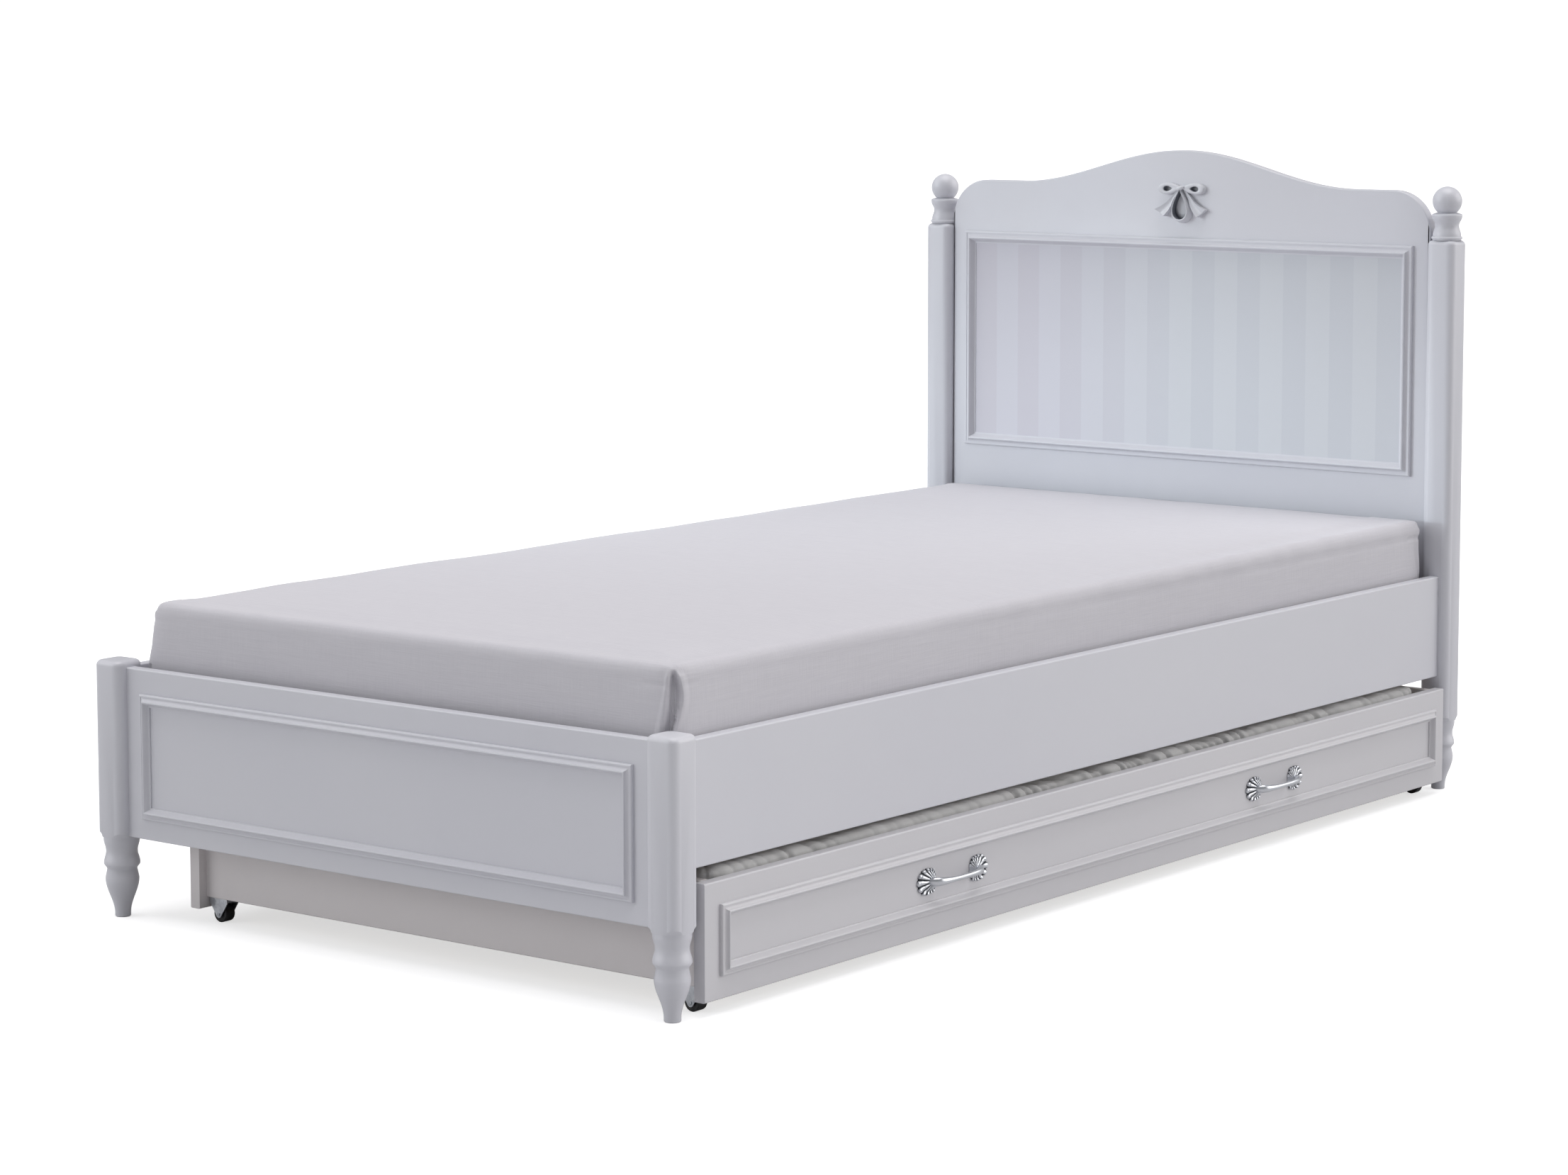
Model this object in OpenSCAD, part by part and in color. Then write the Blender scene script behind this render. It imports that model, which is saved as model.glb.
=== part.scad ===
// Trundle bed: a single bed with a turned-post headboard and a low footboard, and a wheeled
// trundle box that rolls out from under its right-hand side rail.
// +X points to the side the trundle comes out of, +Y to the head end, +Z up, floor at Z = 0.

/* [Bed] */
// Length over the posts
bed_l = 2080; // [1900:10:2200]
// Width over the posts
bed_w = 1081; // [981:10:1281]
// Side of the square posts
post = 52; // [46:1:60]
// Radius of the posts' upright corners
post_r = 13.5; // [4:0.5:16]
// Height of the head posts' square part
head_post_h = 926; // [860:2:1000]
// Height of the foot posts
foot_post_h = 375; // [360:1:420]
// Height of the turned legs under the square part
leg_h = 118; // [110:1:119]

/* [Headboard and footboard] */
// Thickness of the headboard
headboard_t = 20; // [16:1:25]
// Height of the headboard's lower edge
headboard_z = 240; // [200:5:300]
// Height of the headboard's straight shoulders
shoulder_z = 1007; // [980:1:1040]
// Radius of the shoulders' outer corners
shoulder_r = 72; // [40:1:80]
// Rise of the crown above the shoulders
crown_h = 60; // [30:1:80]
// Half the width of the crown's wave
crown_half = 340; // [250:5:400]
// Height of the footboard's lower edge
footboard_z = 120; // [119:1:140]
// Height of the footboard's top edge
footboard_top = 366; // [350:1:372]

/* [Mouldings] */
// Width of the headboard's moulding
head_mould_w = 22; // [16:1:30]
// Inset of the headboard's moulding from the posts' outer faces
head_mould_x = 82; // [70:1:110]
// Lowest edge of the headboard's moulding
head_mould_z = 527; // [500:1:560]
// Highest edge of the headboard's moulding
head_mould_top = 915; // [880:1:930]
// Width of the footboard's and the trundle's mouldings
mould_w = 18; // [14:1:24]
// Inset of the footboard's moulding from the posts
foot_mould_x = 30; // [20:1:60]
// Lowest edge of the footboard's moulding
foot_mould_z = 150; // [140:1:170]
// Highest edge of the footboard's moulding
foot_mould_top = 331; // [300:1:350]
// Inset of the trundle's moulding from the edges of its front
trundle_mould_in = 31; // [20:1:45]

/* [Rails and slats] */
// Thickness of the footboard, rails and trundle boards
board_t = 18; // [15:1:22]
// Height of the side rails' lower edge
rail_z = 195; // [190:1:210]
// Height of the side rails' top edge
rail_top = 364; // [340:1:372]
// Height of the slats' upper faces
slat_top = 264; // [250:1:280]
// Number of slats under the mattress
slat_count = 14; // [10:1:18]
// Width of each slat
slat_w = 70; // [50:1:90]

/* [Mattresses] */
// Length of the bed's mattress
mattress_l = 2000; // [1800:10:2100]
// Width of the bed's mattress
mattress_w = 1000; // [900:10:1200]
// Thickness of the bed's mattress
mattress_h = 190; // [120:5:220]
// Thickness of the trundle's mattress
trundle_mattress_h = 138; // [80:1:140]

/* [Trundle] */
// Length of the trundle's front
trundle_l = 1960; // [1780:10:1970]
// Depth of the trundle over its front and back
trundle_d = 950; // [800:10:960]
// Height of the trundle front's lower edge
trundle_z = 20; // [18:1:25]
// Height of the trundle front's top edge
trundle_top = 177; // [150:1:180]
// Distance the end boards are set in from the front's ends
end_inset = 14; // [5:1:30]
// Height of the end boards' lower edge, where the casters are fixed
caster_h = 35.5; // [34:0.5:40]
// Radius of the caster wheels
wheel_r = 12.5; // [10:0.5:14]
// Distance of each pull from the middle of the front
pull_y = 433; // [200:1:600]
// Distance the pulls stand out from the front
pull_out = 24; // [18:1:35]
// Length of each pull
pull_l = 168; // [120:1:200]

/* [Hidden] */
$fn = 48;

paint = "gainsboro";
steel = "silver";
bare_wood = "burlywood";
cloth = "white";

// The pulls stand out on the right only, so the bed's own centre line lies left of X = 0.
bed_x = -pull_out / 2;
post_x = bed_w / 2 - post / 2;
post_y = bed_l / 2 - post / 2;
post_in_x = bed_w / 2 - post;
post_in_y = bed_l / 2 - post;
rail_x = bed_w / 2 - (post - board_t) / 2 - board_t;
foot_face_y = -bed_l / 2 + (post - board_t) / 2;
head_face_y = bed_l / 2 - (post + headboard_t) / 2;
edge_r = 2;
proud = 10;
stripe_t = 1.5;

slat_t = 20;
ledger_w = 25;
ledger_t = 30;
slat_l = 2 * rail_x - 4;
slat_span = bed_l - 2 * post - slat_w - 10;

trundle_x1 = bed_w / 2;
trundle_x0 = trundle_x1 - trundle_d;
trundle_zmid = (trundle_z + trundle_top) / 2;
end_y = trundle_l / 2 - end_inset;
end_t = 16;
base_t = 12;

fork_l = 35;
fork_w = 24;
fork_t = 2;
wheel_w = 18;
axle_r = 2.5;
caster_y = end_y - fork_w / 2 - 3;
caster_xs = [trundle_x0 + board_t + fork_l / 2 + 3, trundle_x1 - board_t - fork_l / 2 - 3];

bolt_r = 4;
bolt_in = 30;
nut_r = 5;
nut_in = 32;
dowel_r = 4;
dowel_l = 40;

// Points of an arc about [cx, cy] from angle a to angle b.
function arc(cx, cy, r, a, b, n) =
    [for (i = [0:n]) let (t = a + (b - a) * i / n) [cx + r * cos(t), cy + r * sin(t)]];

// Outline of a rectangle from [x0, y0] to [x1, y1] with round corners.
function round_rect(x0, y0, x1, y1, r, n = 6) = concat(
    arc(x1 - r, y1 - r, r, 0, 90, n), arc(x0 + r, y1 - r, r, 90, 180, n),
    arc(x0 + r, y0 + r, r, 180, 270, n), arc(x1 - r, y0 + r, r, 270, 360, n));

// Half a cosine wave from [r0, z0] to [r1, z1], level at both ends.
function swell(r0, z0, r1, z1, n = 8) =
    [for (i = [0:n]) let (t = i / n) [r0 + (r1 - r0) * (1 - cos(180 * t)) / 2, z0 + (z1 - z0) * t]];

// Places things drawn about the bed's centre line into the model's frame.
module on_bed() translate([bed_x, 0, 0]) children();

// Extrudes an outline drawn as [y, z] from x0 to x1.
module along_x(x0, x1) translate([x0, 0, 0]) rotate([90, 0, 90]) linear_extrude(x1 - x0) children();

// Extrudes an outline drawn as [x, z] from y0 to y1.
module along_y(y0, y1) translate([0, y1, 0]) rotate([90, 0, 0]) linear_extrude(y1 - y0) children();

module board_x(x0, x1, y, z0, z1, t, r = edge_r)
    along_x(x0, x1) polygon(round_rect(y, z0, y + t, z1, r, 4));

module board_y(y0, y1, x, z0, z1, t, r = edge_r)
    along_y(y0, y1) polygon(round_rect(x, z0, x + t, z1, r, 4));

// ---- Posts ----

// Turned leg: a slim foot that swells to a vase, a bead and a cove under the square block.
leg_outline = concat(
    [[0, 0], [10.4, 0], [11.4, 1.2]],
    swell(11.4, 5, 24.2, 57, 14), swell(21.5, 70, 26, 78.5), swell(26, 79, 22.7, 96),
    swell(22.7, 97, post / 2, leg_h - 4), [[post / 2, leg_h + 1], [0, leg_h + 1]]);

// Square block with round corners, a rounded top, and corners scooped away above the leg.
module post_block(h) {
    half = post / 2;
    top_r = 8;
    side = round_rect(-half, leg_h - 20, half, h, top_r, 6);
    intersection() {
        translate([0, 0, leg_h]) linear_extrude(h - leg_h)
            polygon(round_rect(-half, -half, half, half, post_r, 8));
        along_x(-half, half) polygon(side);
        along_y(-half, half) polygon(side);
        rotate_extrude() polygon(concat(
            [[0, leg_h]], arc(half + 12, leg_h - 1, 10.5, 175, 90, 8), [[half + 12, h], [0, h]]));
    }
}

// Bolts from a post into the rail's end, each held by a barrel nut across the rail.
bolt_zs = [rail_z + 45, rail_top - 45];

module rail_bolt_set(r, slack = 0) for (z = bolt_zs)
    translate([rail_x + board_t / 2, post_in_y + bolt_in + slack, z]) rotate([90, 0, 0])
        cylinder(r = r, h = bolt_in + nut_in - nut_r + 2 * slack);

module barrel_nut_set(r, slack = 0) for (z = bolt_zs)
    translate([rail_x - slack, post_in_y - nut_in, z]) rotate([0, 90, 0])
        cylinder(r = r, h = board_t - 4 + slack);

module dowel_set(zs, y, r, slack) {
    for (z = zs) translate([post_in_x - dowel_l / 2 - slack, y, z]) rotate([0, 90, 0])
        cylinder(r = r, h = dowel_l + 2 * slack);
}

head_dowel_y = head_face_y + headboard_t / 2;
foot_dowel_y = foot_face_y + board_t / 2;
head_dowel_z = [320, 560, 800];
foot_dowel_z = [170, 310];
clear = 0.2;

module corner_holes(end_dir) {
    mirror([0, end_dir > 0 ? 0 : 1, 0]) rail_bolt_set(bolt_r + clear, clear);
    if (end_dir > 0) dowel_set(head_dowel_z, head_dowel_y, dowel_r + clear, clear);
    else dowel_set(foot_dowel_z, foot_dowel_y, dowel_r + clear, clear);
}

module post_at(side, end_dir, h) {
    color(paint) on_bed() mirror([side > 0 ? 0 : 1, 0, 0]) difference() {
        translate([post_x, end_dir * post_y, 0]) {
            post_block(h);
            rotate_extrude() polygon(leg_outline);
        }
        corner_holes(end_dir);
    }
}

module head_post_left() post_at(-1, 1, head_post_h);
module head_post_right() post_at(1, 1, head_post_h);
module foot_post_left() post_at(-1, -1, foot_post_h);
module foot_post_right() post_at(1, -1, foot_post_h);

// Turned finial: flared base, cove, collar and ball.
ball_r = 24.5;
ball_z = 65;
finial_outline = concat(
    [[0, 0], [23.6, 0]], arc(23.3, 4, 2.6, -80, 80, 4), swell(23.6, 9, 20, 23.5),
    swell(20, 25, 25, 39, 8), arc(22.6, 41.5, 2.6, 0, 90, 4),
    [for (a = [-50:10:90]) [max(0, ball_r * cos(a)), ball_z + ball_r * sin(a)]]);

module finial_at(side) color(paint) on_bed()
    translate([side * post_x, post_y, head_post_h]) rotate_extrude() polygon(finial_outline);

module head_finial_left() finial_at(-1);
module head_finial_right() finial_at(1);

// ---- Headboard ----

// Half the headboard's outline from the crown out to the post, as [x, z].
crown_step = 20;
head_half = concat(
    [for (x = [0:crown_step:crown_half]) [x, shoulder_z + crown_h * (1 + cos(180 * x / crown_half)) / 2]],
    arc(post_in_x - shoulder_r, shoulder_z - shoulder_r, shoulder_r, 90, 0, 12));

module headboard_panel() color(paint) on_bed() difference() {
    along_y(head_face_y, head_face_y + headboard_t) for (m = [0, 1]) mirror([m, 0])
        polygon(concat([[0, headboard_z]], head_half, [[post_in_x, headboard_z]]));
    for (m = [0, 1]) mirror([m, 0, 0])
        dowel_set(head_dowel_z, head_dowel_y, dowel_r + clear, clear);
}

head_mould_half = bed_w / 2 - head_mould_x;
stripe_half = head_mould_half - head_mould_w;

module striped_panel() color("whitesmoke") on_bed()
    translate([-stripe_half, head_face_y - stripe_t, head_mould_z + head_mould_w])
        cube([2 * stripe_half, stripe_t, head_mould_top - head_mould_z - 2 * head_mould_w]);

// Panel moulding, seen end on from its outer edge: a small bead, a cove up to the ridge, and an
// ogee down to the panel.
function mould_outline(w) = let (k = w / 18) [for (p = concat(
    [[0, 0]], arc(2.2, 3.2, 2.2, 180, 90, 4), [[3.6, 5.4], [3.6, 4.8]],
    arc(4.2, 9.6, 4.8, 270, 360, 6), [for (q = swell(proud, 10.4, 2, 17, 8)) [q[1], q[0]]],
    [[18, 2], [18, 0]])) k * p];

// One mitred length of a moulding frame, lw by lh, drawn flat with its face upwards.
module mould_piece(lw, lh, w, side) {
    turned = side == "left" || side == "right";
    len = turned ? lh : lw;
    off = turned ? lw : lh;
    angle = side == "bottom" ? 0 : side == "right" ? 90 : side == "top" ? 180 : 270;
    rotate([0, 0, angle]) translate([0, -off / 2, 0]) intersection() {
        along_x(-len / 2, len / 2) polygon(mould_outline(w));
        linear_extrude(3 * proud) polygon([[-len / 2, 0], [len / 2, 0], [len / 2 - w, w], [w - len / 2, w]]);
    }
}

module head_moulding(side) color(paint) on_bed()
    translate([0, head_face_y, (head_mould_z + head_mould_top) / 2]) rotate([90, 0, 0])
        mould_piece(2 * head_mould_half, head_mould_top - head_mould_z, head_mould_w, side);

module head_moulding_top() head_moulding("top");
module head_moulding_bottom() head_moulding("bottom");
module head_moulding_left() head_moulding("left");
module head_moulding_right() head_moulding("right");

// Ribbon bow: two side loops, one hanging loop, two flared tails and a knot.
bow_z = 1001;
bow_depth = 12;

// A drop-shaped loop hanging from the knot, w wide and l long.
function drop(w, l, n = 28) =
    [for (i = [0:n - 1]) let (t = 360 * i / n) [w * 0.65 * sin(t) * pow(sin(t / 2), 1.4), -l * (1 - cos(t)) / 2]];

module ribbon_loop(w, l, t) difference() {
    polygon(drop(w, l));
    translate([0, -1.6 * t]) polygon(drop(w - 2 * t, l - 3 * t));
}

module bow_ornament() color("white") on_bed() along_y(head_face_y - bow_depth, head_face_y)
    translate([0, bow_z]) {
        ribbon_loop(36, 61, 4);
        for (m = [0, 1]) mirror([m, 0]) {
            rotate([0, 0, 88]) ribbon_loop(24, 52, 4);
            polygon(concat([[2, -1], [6, 1]], arc(80, 43, 85, 209, 229, 6), [[42, -50], [30, -42]]));
        }
        circle(r = 6);
    }

// ---- Footboard ----

module footboard_panel() color(paint) on_bed() difference() {
    board_x(-post_in_x, post_in_x, foot_face_y, footboard_z, footboard_top, board_t);
    for (m = [0, 1]) mirror([m, 0, 0])
        dowel_set(foot_dowel_z, foot_dowel_y, dowel_r + clear, clear);
}

module foot_moulding(side) color(paint) on_bed()
    translate([0, foot_face_y, (foot_mould_z + foot_mould_top) / 2]) rotate([90, 0, 0])
        mould_piece(2 * (post_in_x - foot_mould_x), foot_mould_top - foot_mould_z, mould_w, side);

module foot_moulding_top() foot_moulding("top");
module foot_moulding_bottom() foot_moulding("bottom");
module foot_moulding_left() foot_moulding("left");
module foot_moulding_right() foot_moulding("right");

module panel_dowels() color(bare_wood) on_bed() for (m = [0, 1]) mirror([m, 0, 0]) {
    dowel_set(head_dowel_z, head_dowel_y, dowel_r, 0);
    dowel_set(foot_dowel_z, foot_dowel_y, dowel_r, 0);
}

// ---- Rails, ledgers and slats ----

module both_ends() for (m = [0, 1]) mirror([0, m, 0]) children();

module rail_at(side) color(paint) on_bed() mirror([side > 0 ? 0 : 1, 0, 0]) difference() {
    board_y(-post_in_y, post_in_y, rail_x, rail_z, rail_top, board_t);
    both_ends() {
        rail_bolt_set(bolt_r + clear);
        barrel_nut_set(nut_r + clear, clear);
    }
    ledger_screw_set();
}

module side_rail_left() rail_at(-1);
module side_rail_right() rail_at(1);

module rail_bolts() color(steel) on_bed() for (m = [0, 1]) mirror([m, 0, 0])
    both_ends() rail_bolt_set(bolt_r);

module barrel_nuts() color(steel) on_bed() for (m = [0, 1]) mirror([m, 0, 0])
    both_ends() barrel_nut_set(nut_r);

ledger_z = slat_top - slat_t - ledger_t;
ledger_l = 2 * post_in_y - 10;
screw_pitch = 320;
screw_ys = [for (i = [-2.5:1:2.5]) i * screw_pitch];

// A countersunk wood screw along +X, its head at the origin.
module wood_screw(l, head_r = 4, shank_r = 2) {
    cylinder(r1 = head_r, r2 = shank_r, h = head_r - shank_r);
    cylinder(r = shank_r, h = l);
}

module ledger_screw_set() for (y = screw_ys)
    translate([rail_x - ledger_w, y, ledger_z + ledger_t / 2]) rotate([0, 90, 0]) wood_screw(38);

module ledger_at(side) color(bare_wood) on_bed() mirror([side > 0 ? 0 : 1, 0, 0]) difference() {
    board_y(-ledger_l / 2, ledger_l / 2, rail_x - ledger_w, ledger_z, ledger_z + ledger_t, ledger_w);
    ledger_screw_set();
    slat_screw_set();
}

module slat_ledger_left() ledger_at(-1);
module slat_ledger_right() ledger_at(1);
module ledger_screws() color(steel) on_bed() for (m = [0, 1]) mirror([m, 0, 0]) ledger_screw_set();

slat_ys = [for (i = [0:slat_count - 1]) -slat_span / 2 + slat_span * i / (slat_count - 1)];

module slat_screw_set() for (y = slat_ys, side = [-1, 1])
    translate([side * (rail_x - ledger_w / 2), y, slat_top]) rotate([180, 0, 0]) wood_screw(30);

module bed_slats() color(bare_wood) on_bed() difference() {
    for (y = slat_ys) board_x(-slat_l / 2, slat_l / 2, y - slat_w / 2, slat_top - slat_t, slat_top, slat_w);
    slat_screw_set();
}

module slat_screws() color(steel) on_bed() slat_screw_set();

mattress_r = 50;

module mattress() color(cloth) on_bed() translate([0, 0, slat_top + 0.3])
    linear_extrude(mattress_h)
        polygon(round_rect(-mattress_w / 2, -mattress_l / 2, mattress_w / 2, mattress_l / 2, mattress_r, 8));

// ---- Trundle box ----

module pull_screw_set(r, slack) for (y = [-1, 1], s = [-1, 1])
    translate([trundle_x1 - board_t - slack, y * pull_y + s * pull_screw, trundle_zmid])
        rotate([0, 90, 0]) cylinder(r = r, h = board_t + 2 + 2 * slack);

module trundle_front() color(paint) on_bed() difference() {
    board_y(-trundle_l / 2, trundle_l / 2, trundle_x1 - board_t, trundle_z, trundle_top, board_t);
    pull_screw_set(2 + clear, clear);
}

corner_screw_z = [70, 110, 150];

module corner_screw_set() both_ends() for (z = corner_screw_z)
    translate([trundle_x0, end_y - end_t / 2, z]) rotate([0, 90, 0]) wood_screw(50, 4.5, 2.5);

module trundle_back() color(paint) on_bed() difference() {
    board_y(-trundle_l / 2, trundle_l / 2, trundle_x0, trundle_z, trundle_top, board_t);
    corner_screw_set();
}

module end_board(end_dir) color(paint) on_bed() mirror([0, end_dir > 0 ? 0 : 1, 0]) difference() {
    board_x(trundle_x0 + board_t, trundle_x1 - board_t, end_y - end_t, caster_h, trundle_top, end_t);
    corner_screw_set();
    caster_screw_set();
}

module trundle_end_foot() end_board(-1);
module trundle_end_head() end_board(1);
module corner_screws() color(steel) on_bed() corner_screw_set();

module trundle_base() color(bare_wood) on_bed() difference() {
    translate([trundle_x0 + board_t, -(end_y - end_t), caster_h])
        cube([trundle_d - 2 * board_t, 2 * (end_y - end_t), base_t]);
    both_ends() caster_screw_set();
}

// Steel angle plates that hold the front to the end boards from inside.
bracket = 30;
bracket_t = 2;
bracket_z = caster_h + base_t + 10;

module corner_brackets() color(steel) on_bed() both_ends()
    translate([trundle_x1 - board_t, end_y - end_t, bracket_z]) linear_extrude(90)
        polygon([[0, 0], [-bracket, 0], [-bracket, -bracket_t], [-bracket_t, -bracket_t],
                 [-bracket_t, -bracket], [0, -bracket]]);

module trundle_moulding(side) color(paint) on_bed()
    translate([trundle_x1, 0, trundle_zmid]) rotate([90, 0, 90])
        mould_piece(trundle_l - 2 * trundle_mould_in, trundle_top - trundle_z - 2 * trundle_mould_in,
                    mould_w, side);

module trundle_moulding_top() trundle_moulding("top");
module trundle_moulding_bottom() trundle_moulding("bottom");
module trundle_moulding_left() trundle_moulding("left");
module trundle_moulding_right() trundle_moulding("right");

// Pull: two scalloped shells on the front, joined by a bar that bows outwards.
shell_r = 20;
shell_t = 4;
pull_screw = pull_l / 2 - shell_r;
lobes = 15;
bar_t = 6;
bar_w = 10;
bar_y = pull_screw - 8;

module pull_at(y) color(steel) on_bed() translate([trundle_x1, y, trundle_zmid]) {
    for (s = [-1, 1]) translate([0, s * pull_screw, 0]) rotate([0, 90, 0]) difference() {
        linear_extrude(shell_t) polygon([for (a = [0:4:356])
            (shell_r - 1.2 + 1.2 * abs(cos(a * lobes / 2))) * [cos(a), sin(a)]]);
        translate([0, 0, -clear]) cylinder(r = 2 + clear, h = 2 + 2 * clear);
    }
    translate([0, 0, -bar_w / 2]) linear_extrude(bar_w) polygon(concat(
        [for (t = [0:10:180]) [pull_out * sin(t), (bar_y + bar_t / 2) * cos(t)]],
        [for (t = [180:-10:0]) [(pull_out - bar_t) * sin(t), (bar_y - bar_t / 2) * cos(t)]]));
}

module pull_foot() pull_at(-pull_y);
module pull_head() pull_at(pull_y);
module pull_screws() color(steel) on_bed() pull_screw_set(2, 0);

// ---- Casters ----

module at_casters() for (x = caster_xs, m = [0, 1]) mirror([0, m, 0]) translate([x, caster_y, 0]) children();

plate_in = 26;
caster_screw_at = [for (x = [-12, 12], y = [-20, 8.5]) [x, y]];

module caster_screw_set(slack = 0) for (x = caster_xs, at = caster_screw_at)
    translate([x + at[0], caster_y + at[1], caster_h - fork_t - slack]) cylinder(r = 1.5 + slack, h = 11);

// Pressed fork: a top plate and two triangular ears that carry the axle.
module fork_ear() rotate([90, 0, 0]) linear_extrude(fork_t) polygon(concat(
    [[-fork_l / 2, caster_h - fork_t / 2], [-fork_l / 2, caster_h - fork_t - 4]],
    arc(0, wheel_r, 5.5, 200, 340, 10),
    [[fork_l / 2, caster_h - fork_t - 4], [fork_l / 2, caster_h - fork_t / 2]]));

module caster_forks() color(steel) on_bed() difference() {
    at_casters() difference() {
        union() {
            translate([-fork_l / 2, -fork_w / 2 - plate_in / 2, caster_h - fork_t])
                cube([fork_l, fork_w + plate_in / 2, fork_t]);
            for (y = [-fork_w / 2 + fork_t, fork_w / 2]) translate([0, y, 0]) fork_ear();
        }
        translate([0, fork_w, wheel_r]) rotate([90, 0, 0]) cylinder(r = axle_r, h = 2 * fork_w);
    }
    both_ends() caster_screw_set(clear);
}

module caster_axles() color(steel) on_bed() at_casters()
    translate([0, fork_w / 2 + 1, wheel_r]) rotate([90, 0, 0]) cylinder(r = axle_r, h = fork_w + 2);

module caster_screws() color(steel) on_bed() both_ends() caster_screw_set();

axle_slack = 0.05;

module wheel_at(x, end_dir) color("#202020") on_bed()
    translate([x, end_dir * caster_y + wheel_w / 2, wheel_r]) rotate([90, 0, 0]) rotate_extrude()
        polygon(concat([[axle_r + axle_slack, 0]], [[wheel_r - 1.5, 0]],
            arc(wheel_r - 1.5, 1.5, 1.5, -90, 0, 4), arc(wheel_r - 1.5, wheel_w - 1.5, 1.5, 0, 90, 4),
            [[axle_r + axle_slack, wheel_w]]));

module wheel_back_foot() wheel_at(caster_xs[0], -1);
module wheel_back_head() wheel_at(caster_xs[0], 1);
module wheel_front_foot() wheel_at(caster_xs[1], -1);
module wheel_front_head() wheel_at(caster_xs[1], 1);

module trundle_mattress() color(cloth) on_bed()
    translate([0, 0, caster_h + base_t + 0.3]) linear_extrude(trundle_mattress_h) polygon(round_rect(
        trundle_x0 + board_t + 5, -(end_y - end_t) + 6, trundle_x1 - board_t - 5, end_y - end_t - 6, 45, 8));

head_post_left();
head_post_right();
head_finial_left();
head_finial_right();
foot_post_left();
foot_post_right();
headboard_panel();
striped_panel();
bow_ornament();
head_moulding_top();
head_moulding_bottom();
head_moulding_left();
head_moulding_right();
footboard_panel();
foot_moulding_top();
foot_moulding_bottom();
foot_moulding_left();
foot_moulding_right();
side_rail_left();
side_rail_right();
slat_ledger_left();
slat_ledger_right();
bed_slats();
panel_dowels();
rail_bolts();
barrel_nuts();
ledger_screws();
slat_screws();
mattress();
trundle_front();
trundle_back();
trundle_end_foot();
trundle_end_head();
trundle_base();
trundle_moulding_top();
trundle_moulding_bottom();
trundle_moulding_left();
trundle_moulding_right();
pull_foot();
pull_head();
pull_screws();
corner_screws();
corner_brackets();
caster_forks();
caster_axles();
caster_screws();
trundle_mattress();
wheel_front_foot();
wheel_front_head();
wheel_back_foot();
wheel_back_head();
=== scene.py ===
import math

import bmesh
import bpy
from mathutils import Matrix, Vector, noise


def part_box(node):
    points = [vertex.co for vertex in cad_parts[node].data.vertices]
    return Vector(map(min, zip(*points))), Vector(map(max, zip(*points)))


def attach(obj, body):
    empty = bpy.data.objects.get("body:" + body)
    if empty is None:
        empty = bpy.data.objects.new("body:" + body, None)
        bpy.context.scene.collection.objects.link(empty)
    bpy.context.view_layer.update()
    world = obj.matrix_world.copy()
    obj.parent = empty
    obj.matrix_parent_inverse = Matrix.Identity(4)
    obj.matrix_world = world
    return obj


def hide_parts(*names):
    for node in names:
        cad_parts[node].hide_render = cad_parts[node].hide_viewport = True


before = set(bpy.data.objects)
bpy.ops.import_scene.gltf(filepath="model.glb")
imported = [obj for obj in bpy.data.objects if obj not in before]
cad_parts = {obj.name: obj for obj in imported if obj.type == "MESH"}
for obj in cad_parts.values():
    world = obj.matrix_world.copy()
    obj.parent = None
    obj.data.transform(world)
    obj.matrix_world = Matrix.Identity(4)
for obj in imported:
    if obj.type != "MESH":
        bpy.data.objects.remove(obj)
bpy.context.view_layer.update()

# ---------------------------------------------------------------------------
# Studio
# A pale floor under an even white sky, both shown brighter than they light. Two narrow lamps on
# the left for the headboard, whose lower one also catches the left rail, light from straight
# above, and a wide fill from each side.
# ---------------------------------------------------------------------------
MM = 0.001
scene = bpy.context.scene
scene.view_settings.view_transform = "Standard"

floor_size = 400.0
floor_tone = (0.58, 0.58, 0.585, 1.0)
floor_lift = 0.64
sky_tone = (0.95, 0.97, 1.0, 1.0)
sky_light = 0.27
sky_seen = 1.1

scene.world = bpy.data.worlds.new("even_sky")
scene.world.use_nodes = True
sky_tree = scene.world.node_tree
sky = sky_tree.nodes["Background"]
sky.inputs["Color"].default_value = sky_tone
sky_ray = sky_tree.nodes.new("ShaderNodeLightPath")
sky_level = sky_tree.nodes.new("ShaderNodeMapRange")
sky_level.inputs["To Min"].default_value = sky_light
sky_level.inputs["To Max"].default_value = sky_seen
sky_tree.links.new(sky_ray.outputs["Is Camera Ray"], sky_level.inputs["Value"])
sky_tree.links.new(sky_level.outputs["Result"], sky.inputs["Strength"])

bpy.ops.object.select_all(action="DESELECT")
bpy.ops.mesh.primitive_plane_add(size=floor_size)
floor = bpy.context.object
floor.name = "studio_floor"
floor_paint = bpy.data.materials.new("studio_floor_paint")
floor_paint.use_nodes = True
floor_shader = floor_paint.node_tree.nodes["Principled BSDF"]
floor_shader.inputs["Base Color"].default_value = floor_tone
floor_shader.inputs["Roughness"].default_value = 0.9
floor_shader.inputs["Specular IOR Level"].default_value = 0.1
floor_ray = floor_paint.node_tree.nodes.new("ShaderNodeLightPath")
floor_glow = floor_paint.node_tree.nodes.new("ShaderNodeMath")
floor_glow.operation = "MULTIPLY"
floor_glow.inputs[1].default_value = floor_lift
floor_paint.node_tree.links.new(floor_ray.outputs["Is Camera Ray"], floor_glow.inputs[0])
floor_paint.node_tree.links.new(floor_glow.outputs[0], floor_shader.inputs["Emission Strength"])
floor_shader.inputs["Emission Color"].default_value = (1, 1, 1, 1)
floor.data.materials.append(floor_paint)


def aimed(at, target):
    """Rotation of a lamp at one place that shines at another."""
    return (Vector(at) - Vector(target)).to_track_quat("Z", "Y").to_euler()


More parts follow.
